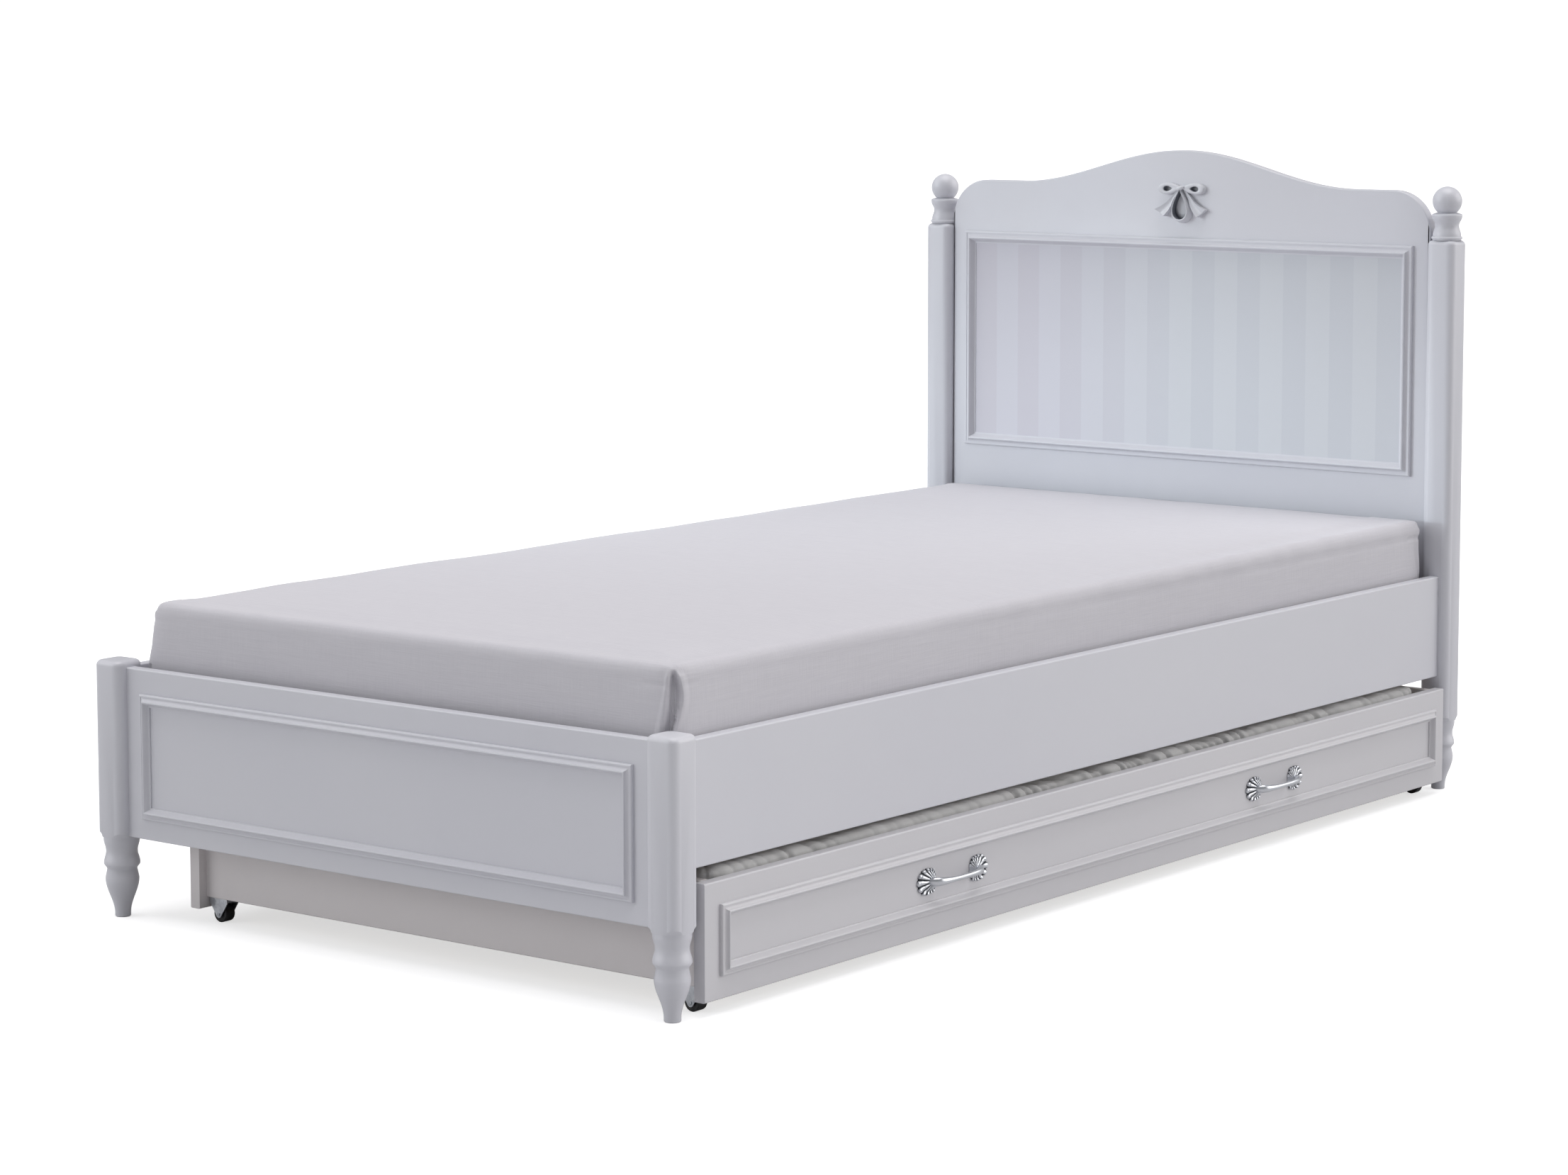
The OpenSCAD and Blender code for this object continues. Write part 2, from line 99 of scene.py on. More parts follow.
def narrow_lamp(name, at, target, size, cone, edge, watts, tone):
    """A round lamp of that size behind a snoot that keeps its light to a soft-edged cone."""
    bpy.ops.object.light_add(type="SPOT", location=at, rotation=aimed(at, target))
    lamp = bpy.context.object
    lamp.name = name
    lamp.data.shadow_soft_size = size
    lamp.data.spot_size = math.radians(cone)
    lamp.data.spot_blend = edge
    lamp.data.energy = watts
    lamp.data.color = tone
    return lamp


def wide_sun(name, towards, strength, spread, tone):
    """A distant lamp in the direction towards, spread wide so that its shadows are soft."""
    bpy.ops.object.light_add(type="SUN", location=(0, 0, 5), rotation=aimed(towards, (0, 0, 0)))
    lamp = bpy.context.object
    lamp.name = name
    lamp.data.energy = strength
    lamp.data.angle = math.radians(spread)
    lamp.data.color = tone
    return lamp


narrow_lamp("head_lamp", (-4.0, -3.2, 2.3), (0.06, 1.0, 0.52), 0.30, 27, 0.6, 142, (0.80, 0.92, 1.0))
low_lamp = narrow_lamp(
    "low_lamp", (-3.6, -3.4, 1.05), (0.04, 1.0, 0.48), 0.20, 10, 1.0, 375, (0.84, 0.95, 1.0))
low_lamp.scale.x = 1.7
wide_sun("top_fill", (0.05, 0.0, 1.0), 1.95, 50, (1.0, 0.985, 0.99))
wide_sun("left_fill", (-0.75, -0.66, 0.30), 1.15, 60, (0.98, 0.99, 1.0))
wide_sun("right_fill", (0.75, 0.62, 0.30), 1.4, 50, (1.0, 0.985, 0.97))

# The camera stands off the right-hand foot corner at the eye height of someone seated.
bpy.ops.object.camera_add(
    location=(3.719, -4.894, 1.259),
    rotation=(math.radians(90 - 6.03), 0, math.radians(37.36)))
camera = bpy.context.object
camera.name = "studio_camera"
camera.data.lens = 91.58
camera.data.sensor_width = 36.0
camera.data.shift_x = -0.029
camera.data.shift_y = -0.081
camera.data.clip_end = 600
scene.camera = camera

# ---------------------------------------------------------------------------
# Posts
# Solid wood, 52 mm square with generously rounded corners, each turned in one piece with its
# own leg: a slim foot that swells to a vase, then a bead and a cove. Sprayed white.
# ---------------------------------------------------------------------------
post_side = 52 * MM
post_corner = 13.5 * MM
post_top_round = 8 * MM
leg_top = 118
scoop_reach = 38
scoop_round = 10.5


def swell(r0, z0, r1, z1, steps=8):
    """Half a cosine wave from (r0, z0) to (r1, z1), level at both ends, as outline points in mm."""
    return [(r0 + (r1 - r0) * (1 - math.cos(math.pi * i / steps)) / 2, z0 + (z1 - z0) * i / steps)
            for i in range(steps + 1)]


def rounding(r, z, radius, start, end, steps):
    """An arc about (r, z) from one angle to another, as outline points in mm."""
    angles = [math.radians(start + (end - start) * i / steps) for i in range(steps + 1)]
    return [(r + radius * math.cos(a), z + radius * math.sin(a)) for a in angles]


def only(piece):
    """Makes piece the one that the next operators work on."""
    if bpy.context.object and bpy.context.object.mode != "OBJECT":
        bpy.ops.object.mode_set(mode="OBJECT")
    bpy.ops.object.select_all(action="DESELECT")
    piece.select_set(True)
    bpy.context.view_layer.objects.active = piece


def open_up():
    """Goes into edit mode with everything of the active piece selected."""
    bpy.ops.object.mode_set(mode="EDIT")
    bpy.ops.mesh.select_all(action="SELECT")


def pick(kind, test):
    """In edit mode, selects the vertices, edges or faces that pass the test, and no others."""
    bpy.ops.mesh.select_mode(type=kind)
    bpy.ops.mesh.select_all(action="DESELECT")
    mesh = bpy.context.object.data
    shape = bmesh.from_edit_mesh(mesh)
    for item in {"VERT": shape.verts, "EDGE": shape.edges, "FACE": shape.faces}[kind]:
        if test(item):
            item.select_set(True)
    bmesh.update_edit_mesh(mesh)


def grow(shift, scale=(1, 1, 1), about=(0, 0, 0)):
    """Extrudes the selection by shift, and then scales it about a point."""
    bpy.ops.mesh.extrude_region_move(TRANSFORM_OT_translate={"value": shift})
    bpy.ops.transform.resize(value=scale, center_override=about)


def turned(outline, x, y, base=0.0, rim=56):
    """Turns an outline of (radius, height) points, in mm, on the upright axis through x, y."""
    first_r, first_z = outline[0]
    bpy.ops.object.select_all(action="DESELECT")
    bpy.ops.mesh.primitive_circle_add(
        vertices=rim, radius=first_r * MM, fill_type="NGON", location=(x, y, base + first_z * MM))
    open_up()
    for (r0, z0), (r1, z1) in zip(outline, outline[1:]):
        scale = r1 / r0
        grow((0, 0, (z1 - z0) * MM), (scale, scale, 1), (x, y, base + z1 * MM))
    bpy.ops.mesh.select_all(action="SELECT")
    bpy.ops.mesh.normals_make_consistent(inside=False)
    bpy.ops.object.mode_set(mode="OBJECT")
    return bpy.context.object


def apply_modifier(piece, kind, **settings):
    """Adds a modifier with those settings and applies it."""
    only(piece)
    modifier = piece.modifiers.new("step", kind)
    for key, value in settings.items():
        setattr(modifier, key, value)
    bpy.ops.object.modifier_apply(modifier=modifier.name)


def settle(piece, smooth=35):
    """Puts a piece's place into its mesh, and shades it smooth across all but its sharp edges."""
    only(piece)
    bpy.ops.object.transform_apply(location=True, rotation=True, scale=True)
    bpy.ops.object.shade_smooth_by_angle(angle=math.radians(smooth))
    return piece


def joined(*pieces):
    """The pieces as one object."""
    only(pieces[0])
    for piece in pieces:
        piece.select_set(True)
    bpy.ops.object.join()
    return pieces[0]


def copied(piece, shift):
    """A copy of a piece with its own mesh, moved by shift."""
    only(piece)
    bpy.ops.object.duplicate()
    bpy.ops.transform.translate(value=shift)
    bpy.ops.object.transform_apply(location=True, rotation=True, scale=True)
    return bpy.context.object


def fit(piece, name, body, material, slot_name, *nodes):
    """Names a finished piece, gives it its material, and fits it in place of its CAD nodes."""
    piece.name = name
    piece.data.name = name
    piece.data.materials.clear()
    piece.data.materials.append(material)
    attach(piece, body)
    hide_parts(*nodes)


def middle(*nodes):
    """Centre of the box around those CAD nodes, and its lowest and highest corners."""
    boxes = [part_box(node) for node in nodes]
    low = Vector([min(box[0][i] for box in boxes) for i in range(3)])
    high = Vector([max(box[1][i] for box in boxes) for i in range(3)])
    return (low + high) / 2, low, high


def shader_group(name, inputs):
    """A shader group for a surface's colour, roughness and normal, with its input and output nodes."""
    group = bpy.data.node_groups.new(name, "ShaderNodeTree")
    for label, kind, start in inputs:
        socket = group.interface.new_socket(label, in_out="INPUT", socket_type=kind)
        if start is not None:
            socket.default_value = start
    for label, kind in (("Color", "Color"), ("Roughness", "Float"), ("Normal", "Vector")):
        group.interface.new_socket(label, in_out="OUTPUT", socket_type=f"NodeSocket{kind}")
    return group, group.nodes.new("NodeGroupInput"), group.nodes.new("NodeGroupOutput")


def put(tree, kind, values=None, **settings):
    """A node with its settings, and with its sockets set or linked by name or number."""
    node = tree.nodes.new(kind)
    for key, value in settings.items():
        setattr(node, key, value)
    for key, value in (values or {}).items():
        if isinstance(value, bpy.types.NodeSocket):
            tree.links.new(value, node.inputs[key])
        else:
            node.inputs[key].default_value = value
    return node


def between(tree, factor, first, second):
    """A colour between two, as a socket."""
    return put(tree, "ShaderNodeMix", {0: factor, 6: first, 7: second}, data_type="RGBA").outputs[2]


def ramp(tree, value, low, high, start=0.0, end=1.0):
    """value stretched from low..high to start..end, as a socket."""
    return put(tree, "ShaderNodeMapRange", {
        "Value": value, "From Min": low, "From Max": high, "To Min": start, "To Max": end}).outputs["Result"]


def clouds(tree, place, scale, detail):
    """Soft noise from 0 to 1, as a socket."""
    noisy = put(tree, "ShaderNodeTexNoise", {"Vector": place, "Scale": scale, "Detail": detail})
    return noisy.outputs["Fac"]


def worked(tree, operation, *values):
    """The result of a sum on sockets or numbers, as a socket."""
    return put(tree, "ShaderNodeMath", dict(enumerate(values)), operation=operation).outputs[0]


def given_out(group, made, tone, gloss, height):
    """Links a group's colour, its roughness and the bump of a height in metres to its outputs."""
    bump = put(group, "ShaderNodeBump", {"Strength": 1.0, "Distance": 1.0, "Height": height})
    group.links.new(tone, made.inputs["Color"])
    group.links.new(gloss, made.inputs["Roughness"])
    group.links.new(bump.outputs["Normal"], made.inputs["Normal"])
    return group


def coated(tree, surface, shader):
    """Links what a surface group gives out to a shader."""
    tree.links.new(surface.outputs["Color"], shader.inputs["Base Color"])
    tree.links.new(surface.outputs["Roughness"], shader.inputs["Roughness"])
    tree.links.new(surface.outputs["Normal"], shader.inputs["Normal"])


def lacquer_group():
    """Slow changes of tone and gloss, and the fine peel that a spray gun leaves in lacquer."""
    group, given, made = shader_group(
        "sprayed_lacquer",
        [("Tone", "NodeSocketColor", None), ("Deeper Tone", "NodeSocketColor", None),
         ("Gloss", "NodeSocketFloat", 0.35), ("Peel Height", "NodeSocketFloat", 0.00005)])
    place = put(group, "ShaderNodeTexCoord").outputs["Object"]
    cloud = clouds(group, place, 2.6, 3.0)
    cloud = ramp(group, cloud, 0.35, 0.65)
    tone = between(group, cloud, given.outputs["Tone"], given.outputs["Deeper Tone"])
    smear = clouds(group, place, 38.0, 2.0)
    gloss = worked(group, "ADD", given.outputs["Gloss"], ramp(group, smear, 0.0, 1.0, -0.06, 0.06))
    peel = clouds(group, place, 320.0, 1.0)
    height = worked(group, "MULTIPLY", peel, given.outputs["Peel Height"])
    return given_out(group, made, tone, gloss, height)


def new_material(name, **sockets):
    """A material, its node tree and its shader, with constants set on the shader's own sockets."""
    material = bpy.data.materials.new(name)
    material.use_nodes = True
    shader = material.node_tree.nodes["Principled BSDF"]
    for label, value in sockets.items():
        shader.inputs[label.replace("_", " ")].default_value = value
    return material, material.node_tree, shader


sprayed_lacquer = lacquer_group()


def lacquered(name, tone, deeper, gloss=0.33, peel=0.00005):
    """A sprayed satin lacquer that drifts between two tones."""
    material, tree, shader = new_material(name, Specular_IOR_Level=0.45)
    coat = put(tree, "ShaderNodeGroup", node_tree=sprayed_lacquer)
    coat.inputs["Tone"].default_value = (*tone, 1)
    coat.inputs["Deeper Tone"].default_value = (*deeper, 1)
    coat.inputs["Gloss"].default_value = gloss
    coat.inputs["Peel Height"].default_value = peel
    coated(tree, coat, shader)
    return material


white_lacquer = lacquered("white_lacquer", (0.640, 0.640, 0.680), (0.622, 0.622, 0.668))

leg_outline = (
    [(10.4, 0), (11.4, 1.2)] + swell(11.4, 5, 24.2, 57, 16) + swell(21.5, 70, 26, 78.5)
    + swell(26, 79, 22.7, 96, 10) + swell(22.7, 97, 25.9, leg_top - 4) + [(25.9, leg_top + 1)])


def square_block(x, y, low, top):
    """The square part of a post, its upright corners and its top edges rounded."""
    bpy.ops.object.select_all(action="DESELECT")
    bpy.ops.mesh.primitive_cube_add(size=1, location=(x, y, (low + top) / 2))
    open_up()
    bpy.ops.transform.resize(value=(post_side, post_side, top - low),
                             center_override=(x, y, (low + top) / 2))
    pick("EDGE", lambda edge: abs(edge.verts[0].co.z - edge.verts[1].co.z) > post_side)
    bpy.ops.mesh.bevel(offset=post_corner, segments=10, profile=0.5)
    half = (top - low) / 2
    pick("EDGE", lambda edge: all(corner.co.z > half - MM for corner in edge.verts))
    bpy.ops.mesh.bevel(offset=post_top_round, segments=7, profile=0.5)
    bpy.ops.object.mode_set(mode="OBJECT")
    return bpy.context.object


def post_model(node):
    """One post at that CAD node's place: the square block, its lower corners scooped, and the leg."""
    centre, low, high = middle(node)
    block = square_block(centre.x, centre.y, (leg_top - 6) * MM, high.z)
    top_mm = high.z / MM
    scoop = rounding(scoop_reach, leg_top - 1, scoop_round, 175, 90, 10)
    blank = turned(scoop + [(scoop_reach, top_mm + 5)], centre.x, centre.y)
    apply_modifier(block, "BOOLEAN", operation="INTERSECT", object=blank, solver="EXACT")
    bpy.data.objects.remove(blank)
    leg = turned(leg_outline, centre.x, centre.y)
    return settle(joined(block, leg))


for end in ("head", "foot"):
    left_post = post_model(f"{end}_post_left")
    across = middle(f"{end}_post_right")[0] - middle(f"{end}_post_left")[0]
    right_post = copied(left_post, across)
    fit(left_post, f"{end}_post_left_turned", "bed_frame", white_lacquer, "white_paint",
        f"{end}_post_left")
    fit(right_post, f"{end}_post_right_turned", "bed_frame", white_lacquer, "white_paint",
        f"{end}_post_right")

# ---------------------------------------------------------------------------
# Finials
# Turned wood, dowelled on top of the head posts: a flared base, a cove, a collar and a ball.
# ---------------------------------------------------------------------------
ball_radius = 24.5
ball_height = 65
finial_outline = (
    [(23.6, 0)] + rounding(23.3, 4, 2.6, -80, 80, 6) + swell(23.6, 9, 20, 23.5, 10)
    + swell(20, 25, 25, 39, 10) + rounding(22.6, 41.5, 2.6, 0, 90, 6)
    + rounding(0, ball_height, ball_radius, -50, 88, 26))

post_centre, finial_low, _ = middle("head_finial_left")
left_finial = settle(turned(finial_outline, post_centre.x, post_centre.y, base=finial_low.z))
right_finial = copied(left_finial, middle("head_finial_right")[0] - post_centre)
fit(left_finial, "finial_left_turned", "bed_frame", white_lacquer, "white_paint", "head_finial_left")
fit(right_finial, "finial_right_turned", "bed_frame", white_lacquer, "white_paint", "head_finial_right")

# ---------------------------------------------------------------------------
# Headboard
# One 20 mm board between the head posts. Its top is sawn to a wave with a low crown, its
# shoulders are rounded down to the posts, and its edges are eased before it is sprayed.
# ---------------------------------------------------------------------------
board_centre, board_low, board_high = middle("headboard_panel")
crown_rise = 60 * MM
crown_half = 340 * MM
shoulder_round = 72 * MM
shoulder_height = board_high.z - crown_rise
board_half = (board_high.x - board_low.x) / 2
edge_ease = 2.5 * MM

crown_steps = 34
crown_xs = [crown_half * i / crown_steps for i in range(crown_steps + 1)]
half_outline = [(x, shoulder_height + crown_rise * (1 + math.cos(math.pi * x / crown_half)) / 2)
                for x in crown_xs]
shoulder = rounding((board_half - shoulder_round) / MM, (shoulder_height - shoulder_round) / MM,
                    shoulder_round / MM, 90, 0, 14)
half_outline += [(x * MM, z * MM) for x, z in shoulder]
top_outline = [(-x, z) for x, z in reversed(half_outline[1:])] + half_outline

bpy.ops.object.select_all(action="DESELECT")
bpy.ops.mesh.primitive_grid_add(x_subdivisions=len(top_outline) - 1, y_subdivisions=1, size=2)
board = bpy.context.object
for corner in board.data.vertices:
    column = round((corner.co.x + 1) / 2 * (len(top_outline) - 1))
    x, top = top_outline[column]
    corner.co = (board_centre.x + x, board_low.y, top if corner.co.y > 0 else board_low.z)
open_up()
grow((0, board_high.y - board_low.y, 0))
bpy.ops.mesh.select_all(action="SELECT")
bpy.ops.mesh.normals_make_consistent(inside=False)
bpy.ops.mesh.select_all(action="DESELECT")
bpy.ops.mesh.edges_select_sharp(sharpness=math.radians(60))
bpy.ops.mesh.bevel(offset=edge_ease, segments=4, profile=0.5)
fit(settle(board), "headboard_board", "bed_frame", white_lacquer, "white_paint", "headboard_panel")

# ---------------------------------------------------------------------------
# Striped panel
# The field inside the headboard's moulding, printed with nineteen upright stripes in two
# tones so close that they show only as a shimmer. The CAD's own sheet, with the print on it.
# ---------------------------------------------------------------------------
stripe_count = 19
_, panel_low, panel_high = middle("striped_panel")
stripe_width = (panel_high.x - panel_low.x) / stripe_count
stripe_tones = ((0.597, 0.611, 0.643, 1), (0.567, 0.581, 0.618, 1))
warm_tones = ((0.601, 0.594, 0.649, 1), (0.575, 0.558, 0.613, 1))


def dress(material, *nodes):
    """Gives CAD nodes that keep their shape their finish."""
    for name in nodes:
        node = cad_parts[name]
        node.data.materials.clear()
        node.data.materials.append(material)


striped_lacquer, tree, shader = new_material("striped_lacquer", Specular_IOR_Level=0.35)
place = put(tree, "ShaderNodeTexCoord").outputs["Object"]
across = put(tree, "ShaderNodeSeparateXYZ", {0: place}).outputs["X"]
count = worked(tree, "ADD", across, -panel_low.x)
phase = worked(tree, "DIVIDE", count, 2 * stripe_width)
phase = worked(tree, "FRACT", phase)
triangle = worked(tree, "SUBTRACT", phase, 0.25)
triangle = worked(tree, "ABSOLUTE", triangle)
light_stripe = ramp(tree, triangle, 0.243, 0.257)
warmth = ramp(tree, across, panel_low.x + 0.15, panel_low.x + 0.45, 1.0, 0.0)
cool = between(tree, light_stripe, stripe_tones[1], stripe_tones[0])
warm = between(tree, light_stripe, warm_tones[1], warm_tones[0])
coat = put(tree, "ShaderNodeGroup", node_tree=sprayed_lacquer)
coat.inputs["Gloss"].default_value = 0.42
printed = between(tree, warmth, cool, warm)
tree.links.new(printed, coat.inputs["Tone"])
tree.links.new(printed, coat.inputs["Deeper Tone"])
coated(tree, coat, shader)
dress(striped_lacquer, "striped_panel")

# ---------------------------------------------------------------------------
# Ribbon bow
# Cast resin, sprayed with the headboard and glued to its crown: two side loops, one hanging
# loop, two flared tails, and a knot over them all.
# ---------------------------------------------------------------------------
bow_knot = Vector((board_centre.x + 2.5 * MM, board_low.y, 1001.5 * MM))
drop_points = 40


def drop_outline(width, length, droop):
    """Points of a drop hanging from the origin, as (x, z); its belly hangs lower as droop grows."""
    turns = [2 * math.pi * i / drop_points for i in range(drop_points)]
    across = [math.sin(t) * math.sin(t / 2) ** droop for t in turns]
    half = width / 2 / max(across)
    return [(half * x, -length * (1 - math.cos(t)) / 2) for x, t in zip(across, turns)]


def drop_loop(width, length, droop, turn, eye, steps):
    """A hollow loop hung from the knot and turned in the board's plane, shaped by steps of (forward,
    width, length, painted shade) about an eye that lies that share of the length away from the knot;
    the last of each step is how much shade is painted into the loop's hollow at that ring."""
    bpy.ops.object.select_all(action="DESELECT")
    bpy.ops.mesh.primitive_circle_add(vertices=drop_points, radius=1, fill_type="NGON")
    loop = bpy.context.object
    for corner, (x, z) in zip(loop.data.vertices, drop_outline(width * MM, length * MM, droop)):
        corner.co = bow_knot + Vector((x, 0.4 * MM, z))
    centre = bow_knot - Vector((0, 0, eye * length * MM))
    open_up()
    for forward, wide, tall, _ in steps:
        grow((0, -forward * MM, 0), (wide, 1, tall), centre)
    bpy.ops.mesh.select_all(action="SELECT")
    bpy.ops.mesh.normals_make_consistent(inside=False)
    bpy.ops.object.mode_set(mode="OBJECT")
    # How much shade is painted on each ring: dark down in the loop's hollow, where shade falls.
    painted_shade = loop.data.attributes.new("painted_shade", "FLOAT", "POINT")
    for row, step in enumerate(steps, 1):
        for index in range(row * drop_points, (row + 1) * drop_points):
            painted_shade.data[index].value = step[3]
    turned_by = Matrix.Rotation(-math.radians(turn), 4, "Y")
    loop.data.transform(Matrix.Translation(bow_knot) @ turned_by @ Matrix.Translation(-bow_knot))
    return loop


def tail(side):
    """A tail that flares out and down to one side, its face hollowed and its end cut square."""
    stations = ((6, -1, 4, -5, 6), (12, -7, 10, -12, 7), (19, -14, 15.5, -20, 8), (27, -23, 19, -30, 9.5),
                (37, -30, 25, -40, 11), (52, -37, 34, -50, 13))
    bpy.ops.object.select_all(action="DESELECT")
    bpy.ops.mesh.primitive_grid_add(x_subdivisions=4, y_subdivisions=len(stations) - 1, size=2)
    strip = bpy.context.object
    for corner in strip.data.vertices:
        row = round((corner.co.y + 1) / 2 * (len(stations) - 1))
        upper_x, upper_z, lower_x, lower_z, forward = stations[row]
        share = (corner.co.x + 1) / 2
        x = upper_x + (lower_x - upper_x) * share
        z = upper_z + (lower_z - upper_z) * share
        hollow = (0.8 + 0.7 * row) * (1 - corner.co.x ** 2)
        corner.co = bow_knot + Vector((x * side, hollow - forward, z)) * MM
    open_up()
    bpy.ops.mesh.extrude_region_move(TRANSFORM_OT_translate={"value": (0, 4 * MM, 0)})
    bpy.ops.transform.resize(value=(1, 0, 1), center_override=(0, bow_knot.y + 0.4 * MM, 0))
    bpy.ops.mesh.select_all(action="SELECT")
    bpy.ops.mesh.normals_make_consistent(inside=False)
    bpy.ops.mesh.select_all(action="DESELECT")
    bpy.ops.mesh.edges_select_sharp(sharpness=math.radians(55))
    bpy.ops.mesh.bevel(offset=0.7 * MM, segments=2, profile=0.5)
    bpy.ops.object.mode_set(mode="OBJECT")
    apply_modifier(strip, "SUBSURF", levels=1, render_levels=1)
    return strip


side_steps = ((4, 1.02, 1.0, 0), (3, 0.95, 0.97, 0), (2.2, 0.86, 0.93, 0), (0.8, 0.80, 0.86, 0),
              (-0.6, 0.74, 0.56, 0.0), (-0.8, 0.88, 0.74, 0.9), (-3.5, 0.86, 0.86, 1), (-3.5, 0.8, 0.8, 0.6))
hanging_steps = ((3, 0.98, 0.99, 0), (5, 0.92, 0.96, 0), (5, 0.92, 0.96, 0), (1.2, 0.96, 0.98, 0),
                 (0.1, 0.94, 0.97, 0), (-1.2, 0.94, 0.97, 0.9), (-11, 1.0, 1.0, 1), (0, 0.75, 0.75, 0.1))
loops = [drop_loop(20, 48, 0.6, 88, 0.60, side_steps), drop_loop(20, 48, 0.6, -88, 0.60, side_steps),
         drop_loop(39, 61, 1.4, 0, 0.25, hanging_steps)]
bpy.ops.object.select_all(action="DESELECT")
bpy.ops.mesh.primitive_uv_sphere_add(segments=24, ring_count=14, radius=1,
                                     location=bow_knot + Vector((0, -10 * MM, 0)))
knot = bpy.context.object
open_up()
bpy.ops.transform.resize(value=(8.5 * MM, 5 * MM, 4 * MM), center_override=knot.location)
pick("VERT", lambda corner: abs(corner.co.x) < 1.5 * MM)
bpy.ops.transform.resize(value=(1, 0.9, 0.86), center_override=knot.location)
bpy.ops.mesh.select_all(action="SELECT")
bpy.ops.transform.rotate(value=math.radians(18), orient_axis="Y", center_override=knot.location)
bpy.ops.object.mode_set(mode="OBJECT")
bow = joined(*loops, tail(-1), tail(1), knot)
resin_lacquer = lacquered("resin_lacquer", (0.66, 0.665, 0.70), (0.64, 0.645, 0.68),
                          gloss=0.30, peel=0.00003)
tree = resin_lacquer.node_tree
shader = tree.nodes["Principled BSDF"]
plain = shader.inputs["Base Color"].links[0].from_socket
# Painted shade: the hollows of the loops are blended to a dark blue-grey where shade falls inside them.
painted_shade = put(tree, "ShaderNodeAttribute", attribute_name="painted_shade").outputs["Fac"]
tree.links.new(between(tree, painted_shade, plain, (0.10, 0.11, 0.135, 1)), shader.inputs["Base Color"])
fit(settle(bow, 50), "ribbon_bow", "bed_frame", resin_lacquer, "white_resin", "bow_ornament")

# ---------------------------------------------------------------------------
# Painted boards and mouldings
# Footboard, side rails, the trundle's box and the mitred frames glued to their faces. Their
# shapes are the CAD's own. The bed is sprayed with the posts' white. The trundle's front and box
# are that one white with light painted into it: warmer on the front and paler on the box.
# ---------------------------------------------------------------------------
moulding_sides = ("top", "bottom", "left", "right")
# Painted light: the front's warmer tone and the box's paler tone stand in for the light that falls on them.
front_lacquer_painted_light = lacquered("front_lacquer_painted_light", (0.626, 0.617, 0.640), (0.610, 0.601, 0.627))
box_lacquer_painted_light = lacquered("box_lacquer_painted_light", (0.735, 0.700, 0.700), (0.715, 0.680, 0.683))
dress(white_lacquer, "footboard_panel", "side_rail_left", "side_rail_right",
      *[f"{place}_moulding_{side}" for place in ("head", "foot") for side in moulding_sides])
dress(front_lacquer_painted_light, "trundle_front", *[f"trundle_moulding_{side}" for side in moulding_sides])
dress(box_lacquer_painted_light, "trundle_back", "trundle_end_foot", "trundle_end_head")

# ---------------------------------------------------------------------------
# Slats, ledgers and the trundle's base
# Planed pine, left bare: fourteen slats screwed down on ledgers inside the rails, and a sheet
# under the trundle's mattress. The CAD's own shapes, with the grain running along each board.
# ---------------------------------------------------------------------------


def grain_group():
    """Growth rings cut lengthwise and fine pores, in the coordinates it is given."""
    group, given, made = shader_group(
        "pine_grain",
        [("Vector", "NodeSocketVector", None), ("Early Wood", "NodeSocketColor", None),
         ("Late Wood", "NodeSocketColor", None)])
    warp = put(group, "ShaderNodeTexNoise", {"Vector": given.outputs["Vector"], "Scale": 3.0, "Detail": 2.0})
    bent = put(group, "ShaderNodeVectorMath", {0: warp.outputs["Color"], 1: (0.0, 0.045, 0.045)},
               operation="MULTIPLY").outputs[0]
    bent = put(group, "ShaderNodeVectorMath", {0: bent, 1: given.outputs["Vector"]},
               operation="ADD").outputs[0]
    rings = put(group, "ShaderNodeMapping", {"Vector": bent, "Scale": (0.7, 55.0, 55.0)}).outputs[0]
    rings = clouds(group, rings, 1.6, 4.0)
    pores = put(group, "ShaderNodeMapping", {"Vector": bent, "Scale": (12.0, 900.0, 900.0)}).outputs[0]
    pores = clouds(group, pores, 1.0, 1.0)
    late = ramp(group, rings, 0.42, 0.66)
    tone = between(group, late, given.outputs["Early Wood"], given.outputs["Late Wood"])
    height = worked(group, "MULTIPLY", pores, 0.00006)
    return given_out(group, made, tone, ramp(group, late, 0.0, 1.0, 0.68, 0.55), height)


pine_grain = grain_group()


def bare_pine(name, turn):
    """Bare pine whose grain runs along X, turned by that many degrees about Z."""
    material, tree, shader = new_material(name, Specular_IOR_Level=0.3)
    place = put(tree, "ShaderNodeTexCoord").outputs["Object"]
    place = put(tree, "ShaderNodeMapping", {
        "Vector": place, "Rotation": (0, 0, math.radians(turn))}).outputs[0]
    wood = put(tree, "ShaderNodeGroup", {"Vector": place}, node_tree=pine_grain)
    wood.inputs["Early Wood"].default_value = (0.62, 0.45, 0.26, 1)
    wood.inputs["Late Wood"].default_value = (0.47, 0.29, 0.13, 1)
    coated(tree, wood, shader)
    return material


dress(bare_pine("bare_pine_across", 0), "bed_slats", "panel_dowels")
dress(bare_pine("bare_pine_along", 90), "slat_ledger_left", "slat_ledger_right", "trundle_base")

